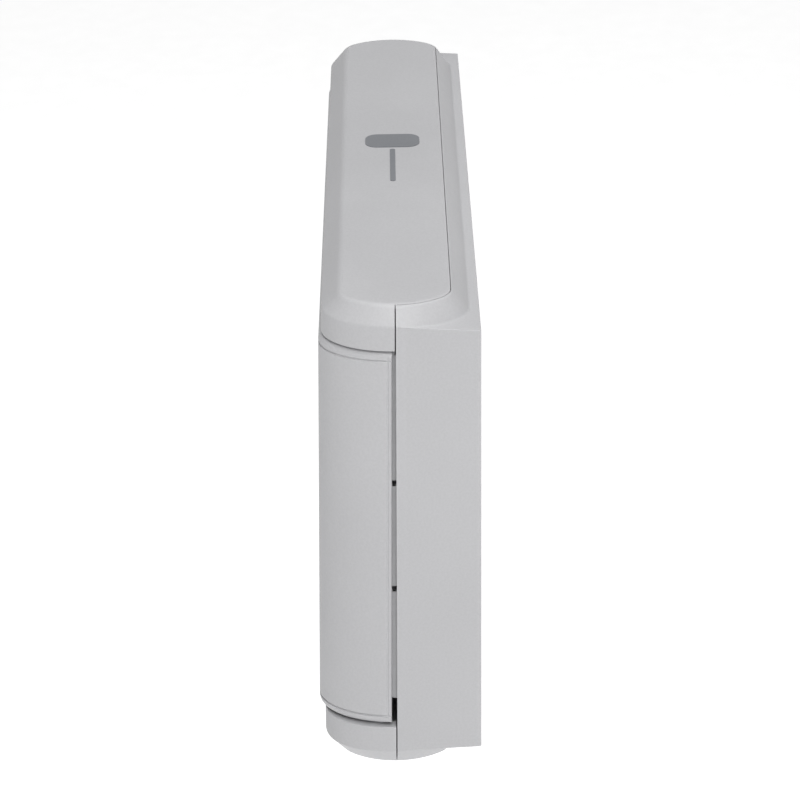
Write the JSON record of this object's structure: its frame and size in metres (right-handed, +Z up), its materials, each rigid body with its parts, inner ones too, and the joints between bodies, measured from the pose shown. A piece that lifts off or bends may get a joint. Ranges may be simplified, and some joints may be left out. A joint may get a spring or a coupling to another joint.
{
  "type": "paper seat cover dispenser",
  "caption": "Wall-hung washroom dispenser for half-fold paper seat covers; a locking front cover swings down on hinges below the back shell.",
  "frame": {"origin": "centre of the back face, on the wall plane", "axes": "+X to the right-hand end as seen by someone in front, +Y into the wall (the front faces -Y), +Z up"},
  "size_m": [0.413, 0.0877, 0.274],
  "materials": {
    "casing": "light grey moulded plastic, fine matt grain",
    "panel": "light grey moulded plastic, fine matt grain",
    "trim": "mid grey moulded plastic",
    "fittings": "light grey moulded plastic",
    "print": "grey pad print",
    "lock_metal": "nickel plate",
    "plated_steel": "zinc plate",
    "rubber": "matt"
  },
  "bodies": {
    "shell": {"back_shell": "casing", "keeper": "plated_steel", "keeper_screw_right": "plated_steel", "keeper_screw_left": "plated_steel", "hinge_pin_right": "plated_steel", "hinge_pin_left": "plated_steel", "pack_shelf": "fittings", "pack_guide_right": "fittings", "pack_guide_left": "fittings", "bumper_upper_right": "rubber", "bumper_upper_left": "rubber", "bumper_lower_right": "rubber", "bumper_lower_left": "rubber"},
    "cover": {"front_cover": "casing", "front_panel": "panel", "opening_trim": "trim", "mark_tag": "print", "mark_bar": "print", "lock_barrel": "lock_metal", "lock_nut": "plated_steel", "panel_screw_1": "plated_steel", "panel_screw_2": "plated_steel", "panel_screw_3": "plated_steel", "panel_screw_4": "plated_steel", "panel_screw_5": "plated_steel", "panel_screw_6": "plated_steel"},
    "lock": {"lock_plug": "lock_metal", "lock_cam": "plated_steel", "cam_screw": "plated_steel"}
  },
  "joints": [
    {"name": "cover_hinge", "type": "hinge", "parent": "shell", "child": "cover", "pos_m": [0, -0.01829, -0.1341], "axis": [1, 0, 0], "range_deg": [0, 90]},
    {"name": "lock_turn", "type": "hinge", "parent": "cover", "child": "lock", "pos_m": [0, -0.07, 0.092], "axis": [0, -1, 0], "range_deg": [0, 90]}
  ]
}
